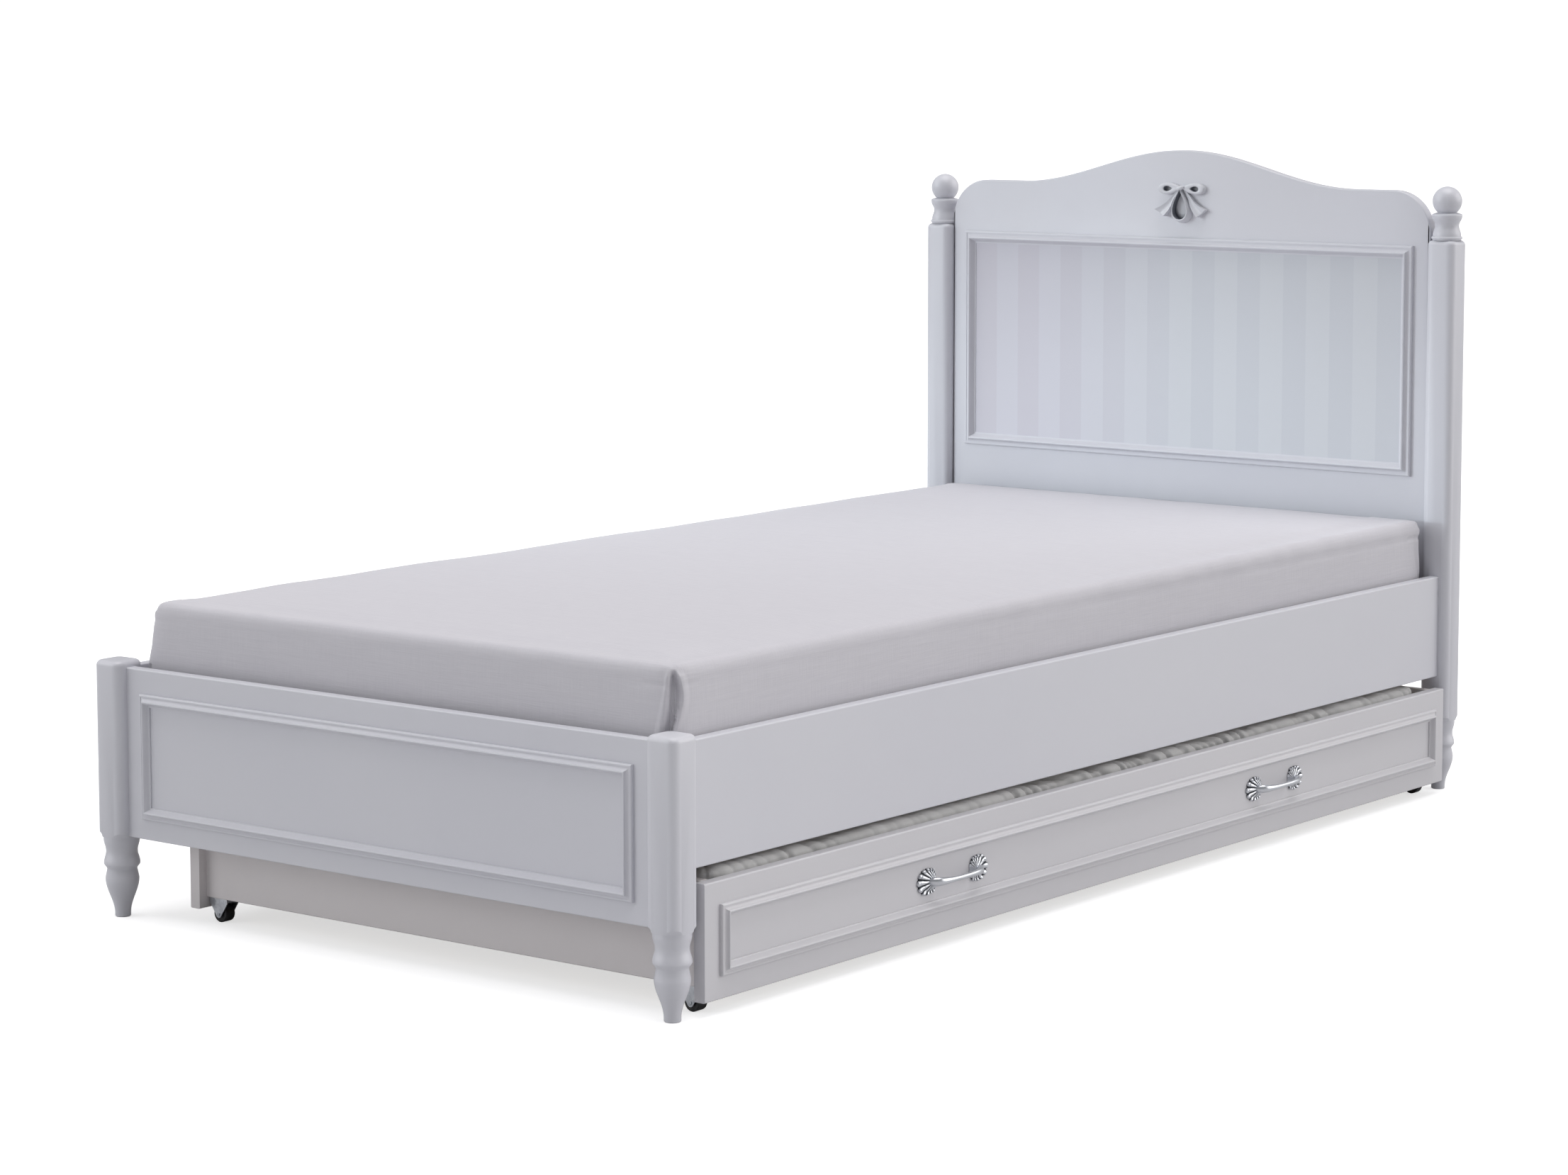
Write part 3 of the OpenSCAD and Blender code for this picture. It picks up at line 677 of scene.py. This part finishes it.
# ---------------------------------------------------------------------------
# Fittings
# Zinc-plated bolts, barrel nuts, screws, angle plates and pressed caster forks, with black
# moulded nylon wheels. The CAD's own shapes.
# ---------------------------------------------------------------------------
zinc_plate, tree, shader = new_material("zinc_plate", Metallic=1.0)
place = put(tree, "ShaderNodeTexCoord").outputs["Object"]
spangle = put(tree, "ShaderNodeTexVoronoi", {"Vector": place, "Scale": 260.0}).outputs["Color"]
spangle = put(tree, "ShaderNodeSeparateXYZ", {0: spangle}).outputs["X"]
tree.links.new(between(tree, spangle, (0.50, 0.52, 0.56, 1), (0.66, 0.68, 0.71, 1)),
               shader.inputs["Base Color"])
tree.links.new(ramp(tree, spangle, 0.0, 1.0, 0.28, 0.42), shader.inputs["Roughness"])
dress(zinc_plate, "rail_bolts", "barrel_nuts", "ledger_screws", "slat_screws", "pull_screws",
      "corner_screws", "corner_brackets", "caster_forks", "caster_axles", "caster_screws")

black_nylon, tree, shader = new_material("black_nylon", Specular_IOR_Level=0.5)
place = put(tree, "ShaderNodeTexCoord").outputs["Object"]
scuff = clouds(tree, place, 240.0, 3.0)
tree.links.new(between(tree, ramp(tree, scuff, 0.45, 0.7), (0.010, 0.010, 0.011, 1), (0.03, 0.03, 0.03, 1)),
               shader.inputs["Base Color"])
tree.links.new(ramp(tree, scuff, 0.3, 0.7, 0.32, 0.5), shader.inputs["Roughness"])
dress(black_nylon, "wheel_front_foot", "wheel_front_head", "wheel_back_foot", "wheel_back_head")

# ---------------------------------------------------------------------------
# Mattress
# Foam, 1000 by 2000 by 190 mm, in a fitted cover of white slubbed linen. The cover rolls softly
# over the top edges, puckers along them, and is folded into a tuck at each corner.
# ---------------------------------------------------------------------------
swell_frames = 20
bottom_round = 8 * MM


def foam_block(low, high, corner, top_round, leans):
    """A block with round upright corners and a round top rim; leans holds, for the -X, +X, -Y and
    +Y sides, how far each comes in towards the top."""
    centre, size = (low + high) / 2, high - low
    bpy.ops.object.select_all(action="DESELECT")
    bpy.ops.mesh.primitive_cube_add(size=1, location=centre)
    open_up()
    bpy.ops.transform.resize(value=size, center_override=centre)
    shifts = ((0, -1, leans[0]), (0, 1, -leans[1]), (1, -1, leans[2]), (1, 1, -leans[3]))
    for axis, side, shift in shifts:
        pick("VERT", lambda spot: spot.co.z > 0 and spot.co[axis] * side > 0)
        bpy.ops.transform.translate(value=(shift, 0, 0) if axis == 0 else (0, shift, 0))
    pick("EDGE", lambda edge: abs(edge.verts[0].co.z - edge.verts[1].co.z) > size.z / 2)
    bpy.ops.mesh.bevel(offset=corner, segments=8, profile=0.5)
    pick("EDGE", lambda edge: all(spot.co.z > size.z / 2 - MM for spot in edge.verts))
    bpy.ops.mesh.bevel(offset=top_round, segments=6, profile=0.5)
    pick("EDGE", lambda edge: all(spot.co.z < MM - size.z / 2 for spot in edge.verts))
    bpy.ops.mesh.bevel(offset=bottom_round, segments=3, profile=0.5)
    bpy.ops.object.mode_set(mode="OBJECT")
    return settle(bpy.context.object)


def swollen(block, voxel, pressure, furthest):
    """Meshes a block evenly and lets its cover swell, with no point moving further than that."""
    apply_modifier(block, "REMESH", mode="VOXEL", voxel_size=voxel)
    apply_modifier(block, "SMOOTH", factor=0.5, iterations=2)
    before = [spot.co.copy() for spot in block.data.vertices]
    cover = block.modifiers.new("cover", "CLOTH")
    cover.settings.quality = 4
    cover.settings.mass = 0.3
    cover.settings.use_pressure = True
    cover.settings.uniform_pressure_force = pressure
    cover.settings.effector_weights.gravity = 0
    cover.point_cache.frame_end = swell_frames
    for frame_number in range(1, swell_frames + 1):
        scene.frame_set(frame_number)
    only(block)
    bpy.ops.object.modifier_apply(modifier=cover.name)
    scene.frame_set(1)
    for spot, was in zip(block.data.vertices, before):
        moved = spot.co - was
        if moved.length > furthest:
            spot.co = was + moved * (furthest / moved.length)
    apply_modifier(block, "SUBSURF", levels=1, render_levels=1)


def soft_step(value, low, high):
    """0 below low, 1 above high, and a smooth rise between."""
    t = min(1.0, max(0.0, (value - low) / (high - low)))
    return t * t * (3 - 2 * t)


def hump(value, middle_value, reach):
    """1 at the middle value, falling smoothly to 0 at that reach."""
    return 1 - soft_step(abs(value - middle_value), 0, reach)


def unwrapped(piece):
    """Lays a weave on a piece in metres, from the side that each face looks to."""
    only(piece)
    open_up()
    bpy.ops.uv.cube_project(cube_size=1.0, correct_aspect=False, scale_to_bounds=False)
    bpy.ops.object.mode_set(mode="OBJECT")


def weave_group():
    """A plain weave with uneven, slubbed threads both ways, laid in metres."""
    group, given, made = shader_group(
        "slubbed_weave",
        [("Vector", "NodeSocketVector", None), ("Thread Tone", "NodeSocketColor", None),
         ("Slub Tone", "NodeSocketColor", None), ("Slub Height", "NodeSocketFloat", 0.00012),
         ("Weave Height", "NodeSocketFloat", 0.00006)])
    slubs = []
    for scale in ((26.0, 620.0, 1.0), (620.0, 26.0, 1.0), (9.0, 210.0, 1.0)):
        laid = put(group, "ShaderNodeMapping", {"Vector": given.outputs["Vector"], "Scale": scale})
        laid = put(group, "ShaderNodeTexNoise", {"Vector": laid.outputs[0], "Scale": 1.0, "Detail": 2.0})
        slubs.append(laid.outputs["Fac"])
    slub = worked(group, "ADD", slubs[0], slubs[1])
    slub = worked(group, "ADD", slub, slubs[2])
    slub = ramp(group, slub, 1.05, 1.95)
    threads = []
    for axis in ("X", "Y"):
        threads.append(put(group, "ShaderNodeTexWave", {
            "Vector": given.outputs["Vector"], "Scale": 190.0, "Distortion": 1.5, "Detail Scale": 8.0},
            bands_direction=axis).outputs["Fac"])
    weave = worked(group, "MULTIPLY", threads[0], threads[1])
    tone = between(group, slub, given.outputs["Slub Tone"], given.outputs["Thread Tone"])
    coarse = worked(group, "MULTIPLY", slub, given.outputs["Slub Height"])
    fine = worked(group, "MULTIPLY", weave, given.outputs["Weave Height"])
    height = worked(group, "ADD", coarse, fine)
    return given_out(group, made, tone, ramp(group, slub, 0.0, 1.0, 0.92, 0.80), height)


slubbed_weave = weave_group()


def woven(name, thread, slub, slub_height):
    """A matt cloth of that tone."""
    material, tree, shader = new_material(
        name, Specular_IOR_Level=0.25, Sheen_Weight=0.12, Sheen_Roughness=0.5)
    laid = put(tree, "ShaderNodeTexCoord").outputs["UV"]
    cloth = put(tree, "ShaderNodeGroup", {"Vector": laid}, node_tree=slubbed_weave)
    cloth.inputs["Thread Tone"].default_value = (*thread, 1)
    cloth.inputs["Slub Tone"].default_value = (*slub, 1)
    cloth.inputs["Slub Height"].default_value = slub_height
    coated(tree, cloth, shader)
    return material


_, bed_low, bed_high = middle("mattress")
cover_corner = 24 * MM
cover_low = bed_low + Vector((-9, 2, 0)) * MM
cover_high = bed_high + Vector((3, -15, 4)) * MM
bed_cushion = foam_block(cover_low, cover_high, cover_corner, 11 * MM, (30 * MM, 1 * MM, 6 * MM, 2 * MM))
swollen(bed_cushion, 12 * MM, 4, 4 * MM)

tuck_reach = 80 * MM
tuck_fold = 58 * MM
tuck_foot = 340 * MM
tuck_corners = [(cover_high.x, cover_low.y, 1, -1), (cover_low.x, cover_low.y, -1, -1),
                (cover_high.x, cover_high.y, 1, 1), (cover_low.x, cover_high.y, -1, 1)]


def near_corner(x, y, reach):
    """Whether a place on the cover lies within reach of one of its tucks."""
    return any(abs(x - cx) < reach and abs(y - cy) < reach for cx, cy, _, _ in tuck_corners)


def by_a_tuck(face):
    """Whether a face lies high on the cover, by one of its tucks."""
    spot = face.calc_center_median()
    return near_corner(spot.x, spot.y, tuck_fold) and spot.z > tuck_foot


only(bed_cushion)
open_up()
pick("FACE", by_a_tuck)
bpy.ops.mesh.subdivide(number_cuts=4, smoothness=0.0)
bpy.ops.object.mode_set(mode="OBJECT")


def puckered(spot, normal):
    """How far the cover stands out of its smooth shape there: an uneven roll along its top edges."""
    drop = cover_high.z - spot.z
    side_in = min(cover_high.x - spot.x, spot.x - cover_low.x - 10 * MM)
    end_in = min(spot.y - cover_low.y - 4 * MM, cover_high.y - spot.y)
    from_rim = max(drop, min(side_in, end_in))
    along = spot.y if side_in < end_in else spot.x
    right_side = cover_high.x - spot.x < 0.1
    headward = 0.35 + 0.65 * soft_step(spot.y, -0.9, 0.8)
    strength = headward if right_side else 0.22
    fine = noise.noise(Vector((along * 22, from_rim * 18, 1.7)))
    broad = noise.noise(Vector((along * 6, 3.1, 0.4)))
    rim = hump(from_rim, 10 * MM, 26 * MM) * (1.2 + 2.2 * fine + 1.4 * broad) * strength
    rim += 2.4 * hump(math.hypot(drop, min(side_in, end_in)), 0, 26 * MM)
    valley = -2.6 * hump(from_rim, 46 * MM, 34 * MM) * (0.7 + 0.9 * broad) * soft_step(normal.z, 0.5, 0.9)
    seam = -1.8 * hump(drop, 27 * MM, 7 * MM) * (headward if right_side else 0.15)
    rest = 0.9 * noise.noise(Vector((spot.x * 4, spot.y * 4, 0))) + 0.3 * noise.noise(spot * 17)
    return (rim + valley + seam + rest * soft_step(normal.z, 0.5, 0.9)) * MM


def tucked(spot):
    """How far a corner's tuck draws the cover in or pushes it out there."""
    for cx, cy, sx, sy in tuck_corners:
        out_x = (spot.x - cx) * sx + cover_corner
        out_y = (spot.y - cy) * sy + cover_corner
        if out_x < -60 * MM or out_y < -60 * MM:
            continue
        around = math.atan2(max(0.0, out_x), max(1e-6, out_y)) * 24
        if out_x < 0:
            around = out_x / MM
        if out_y < 0:
            around = math.pi * 12 - out_y / MM
        down = (cover_high.z - 7 * MM - spot.z) / (74 * MM)
        deep = soft_step(down, 0.0, 0.14)
        flap = 32 + 10 * math.sin(math.pi * min(1.2, max(0.0, down))) - 4 * down
        start = 21 - 15 * down
        pit = soft_step(around, start - 5, start + 6) * (1 - soft_step(around, flap - 1.6, flap))
        lip = soft_step(around, flap - 0.6, flap + 0.6) * (1 - soft_step(around, flap + 1.5, flap + 15))
        ridge = hump(around, start - 9, 8)
        return deep * (3.0 * lip + 1.8 * ridge - 10.0 * pit) * MM
    return 0.0


bed_middle = (bed_low.x + bed_high.x) / 2
post_inner_x = 474 * MM
post_inner_y = 988 * MM
post_crown = 368 * MM
rail_crown = 364.5 * MM
rail_inner_x = 504 * MM


def clear_of_posts(spot):
    """Keeps a place on the cover out of the posts in the bed's corners and between its rails."""
    for cx, cy, sx, sy in tuck_corners:
        in_x = (spot.x - bed_middle) * sx - (post_inner_x - 2 * MM)
        in_y = spot.y * sy - (post_inner_y - 2 * MM)
        if in_x > 0 and in_y > 0 and (sy > 0 or spot.z < post_crown):
            if in_x < in_y:
                spot.x -= sx * in_x
            else:
                spot.y -= sy * in_y
    if spot.z < rail_crown:
        spot.x = min(max(spot.x, bed_middle - rail_inner_x), bed_middle + rail_inner_x)


bed_mesh = bed_cushion.data
normals = [spot.normal.copy() for spot in bed_mesh.vertices]
for spot, normal in zip(bed_mesh.vertices, normals):
    where = spot.co.copy()
    spot.co += normal * puckered(where, normal)
    if near_corner(where.x, where.y, tuck_reach) and abs(normal.z) < 0.8:
        level = Vector((normal.x, normal.y, 0)).normalized()
        spot.co += level * tucked(where)
    clear_of_posts(spot.co)
settle(bed_cushion, 180)
unwrapped(bed_cushion)
white_linen = woven("white_linen", (0.600, 0.588, 0.622), (0.560, 0.548, 0.585), 0.00016)
fit(bed_cushion, "mattress_in_cover", "bed_frame", white_linen, "fitted_sheet", "mattress")

# ---------------------------------------------------------------------------
# Pulls
# Cast metal in antique silver, two on the trundle's front. A ribbed scallop shell at each end,
# dark in its grooves, and a smooth bar that bows out between them. Screwed from behind.
# ---------------------------------------------------------------------------
shell_lobes = 18
shell_spokes = 144
shell_rings = (0.96, 0.90, 0.82, 0.72, 0.61, 0.49, 0.37, 0.26, 0.16, 0.07)
shell_open = math.radians(132)
pull_centre, pull_low, _ = middle("pull_foot")
shell_pivot = pull_centre.y - pull_low.y - 34 * MM


def shell_reach(angle):
    """How far the shell's rim is from its pivot, in mm, by the angle from straight outwards."""
    turn = abs(angle)
    if turn > shell_open:
        return 11.5 - 2.5 * soft_step(turn, shell_open, math.pi)
    wide = 34 + (18.0 - 34) * soft_step(turn, 0, math.radians(88))
    return wide + (11.5 - 18.0) * soft_step(turn, math.radians(88), shell_open)


def shell(side):
    """The scallop shell at the foot (-1) or head (1) end of a pull, with its grooves marked."""
    bpy.ops.object.select_all(action="DESELECT")
    bpy.ops.mesh.primitive_circle_add(vertices=shell_spokes, radius=1, fill_type="NGON")
    disc = bpy.context.object
    open_up()
    grow((0, 0, 1))
    last = 1.0
    for reach in shell_rings:
        grow((0, 0, 0), (reach / last, reach / last, 1))
        last = reach
    bpy.ops.mesh.merge(type="CENTER")
    bpy.ops.object.mode_set(mode="OBJECT")
    grooves = disc.data.attributes.new("groove", "FLOAT", "POINT")
    for index, corner in enumerate(disc.data.vertices):
        out = min(1.0, math.hypot(corner.co.x, corner.co.y))
        angle = math.atan2(corner.co.y, corner.co.x)
        rib = abs(math.cos(angle * shell_lobes / 2)) ** 0.6
        fanned = (1 - soft_step(abs(angle), shell_open, shell_open + 0.25)) * soft_step(out, 0.10, 0.42)
        reach = out * shell_reach(angle) * (1 - 0.07 * fanned * (1 - rib))
        curl = 1.3 * hump(out, 0.93, 0.10) - 0.8 * hump(out, 0.74, 0.14)
        height = 1.6 + 6.0 * (1 - out) ** 1.3 + fanned * (2.3 * (rib - 0.45) + curl * rib)
        if corner.co.z < 0.5:
            height = -0.3
        corner.co = (pull_low.x + height * MM,
                     pull_centre.y + side * (shell_pivot + reach * math.cos(angle) * MM),
                     pull_centre.z + reach * math.sin(angle) * MM)
        grooves.data[index].value = min(1.0, fanned * (1 - rib) * 1.7 + (0.6 if height < 0 else 0.0))
    only(disc)
    open_up()
    bpy.ops.mesh.normals_make_consistent(inside=False)
    bpy.ops.object.mode_set(mode="OBJECT")
    return disc


def pull_bar():
    """The bar between the shells: an oval rod on an S at each end and a long flat bow between."""
    half = ((59, 2.5, 2.6), (57, 7.0, 4.4), (53, 12.5, 4.8), (46, 17.2, 4.2), (34, 20.0, 3.3),
            (18, 21.2, 2.8), (6, 21.5, 2.7))
    stations = [(-along, out, thick) for along, out, thick in half] + [
        (along, out, thick) for along, out, thick in reversed(half)]
    path = bpy.data.curves.new("pull_bar", "CURVE")
    path.dimensions = "3D"
    path.bevel_depth = MM
    path.bevel_resolution = 5
    path.use_fill_caps = True
    path.resolution_u = 6
    line = path.splines.new("NURBS")
    line.points.add(len(stations) - 1)
    for point, (along, out, thick) in zip(line.points, stations):
        point.co = (pull_low.x + out * MM, pull_centre.y + along * MM, 0, 1)
        point.radius = thick
    line.order_u = 4
    line.use_endpoint_u = True
    bar = bpy.data.objects.new("pull_bar", path)
    scene.collection.objects.link(bar)
    only(bar)
    bpy.ops.object.convert(target="MESH")
    open_up()
    bpy.ops.transform.resize(value=(1, 1, 1.35), center_override=(0, 0, 0))
    bpy.ops.transform.translate(value=(0, 0, pull_centre.z))
    bpy.ops.object.mode_set(mode="OBJECT")
    return bpy.context.object


antique_silver, tree, shader = new_material("antique_silver", Metallic=1.0)
groove = put(tree, "ShaderNodeAttribute", attribute_name="groove").outputs["Fac"]
place = put(tree, "ShaderNodeTexCoord").outputs["Object"]
cloud = clouds(tree, place, 330.0, 3.0)
cloud = ramp(tree, cloud, 0.2, 0.8, -0.22, 0.22)
worn = worked(tree, "ADD", groove, cloud)
patina = ramp(tree, worn, 0.30, 0.85)
tree.links.new(between(tree, patina, (0.66, 0.675, 0.71, 1), (0.06, 0.065, 0.075, 1)),
               shader.inputs["Base Color"])
tree.links.new(ramp(tree, patina, 0.0, 1.0, 0.32, 0.55), shader.inputs["Roughness"])

foot_pull = settle(joined(shell(-1), shell(1), pull_bar()), 60)
head_pull = copied(foot_pull, middle("pull_head")[0] - pull_centre)
fit(foot_pull, "pull_foot_cast", "trundle", antique_silver, "antique_silver", "pull_foot")
fit(head_pull, "pull_head_cast", "trundle", antique_silver, "antique_silver", "pull_head")

# ---------------------------------------------------------------------------
# Trundle mattress
# Thinner foam in a loose cotton cover that gathers in uneven slanting folds along its edges.
# It lies in the trundle box, a finger's breadth under the side rail.
# ---------------------------------------------------------------------------
_, low_low, low_high = middle("trundle_mattress")
trundle_cushion = foam_block(low_low + Vector((0, -2, 0)) * MM, low_high + Vector((2.5, 2, 2)) * MM,
                             30 * MM, 7 * MM, (2 * MM, 0, 2 * MM, 2 * MM))
swollen(trundle_cushion, 15 * MM, 4, 4 * MM)


front_strip = 90 * MM
front_foot = 120 * MM


def by_the_front(face):
    """Whether a face lies on the cover's upper edge behind the trundle's front."""
    spot = face.calc_center_median()
    return low_high.x - spot.x < front_strip and spot.z > front_foot


only(trundle_cushion)
open_up()
pick("FACE", by_the_front)
bpy.ops.mesh.subdivide(number_cuts=2, smoothness=0.0)
bpy.ops.object.mode_set(mode="OBJECT")

low_mesh = trundle_cushion.data
normals = [spot.normal.copy() for spot in low_mesh.vertices]
for spot, normal in zip(low_mesh.vertices, normals):
    where = spot.co.copy()
    side_in = min(low_high.x - where.x, where.x - low_low.x)
    end_in = min(where.y - low_low.y, low_high.y - where.y)
    inward = min(side_in, end_in)
    along = where.y if side_in < end_in else where.x
    edge = 1 - soft_step(inward, 20 * MM, 170 * MM)
    slant = along + 0.8 * inward + 0.02 * noise.noise(where * 9)
    creases = noise.noise(Vector((slant * 34, inward * 5, where.z * 4)))
    creases = min(0, 3.0 * abs(creases) - 1)
    patch = 0.3 + 0.7 * soft_step(noise.noise(Vector((along * 4, 7.7, 0))), -0.25, 0.25)
    broad = noise.noise(Vector((where.x * 5, where.y * 5, 2)))
    upper = soft_step(where.z, low_low.z + 30 * MM, low_high.z - 30 * MM)
    rim = hump(math.hypot(inward, low_high.z - where.z), 0, 28 * MM)
    lift = (8.0 * edge * patch * creases * upper + 1.5 * broad * upper + 4.5 * rim) * MM
    spot.co += normal * lift
    spot.co.x = min(spot.co.x, low_high.x + 4 * MM)
    spot.co.z = min(spot.co.z, low_high.z + 6 * MM)
settle(trundle_cushion, 180)
unwrapped(trundle_cushion)
# Painted light: the cover is toned paler than the sheet above it, to brighten the shaded gap under the rail.
loose_cotton_painted_light = woven("loose_cotton_painted_light", (0.69, 0.685, 0.68), (0.65, 0.645, 0.635), 0.00008)
fit(trundle_cushion, "trundle_mattress_in_cover", "trundle", loose_cotton_painted_light, "quilted_cover",
    "trundle_mattress")
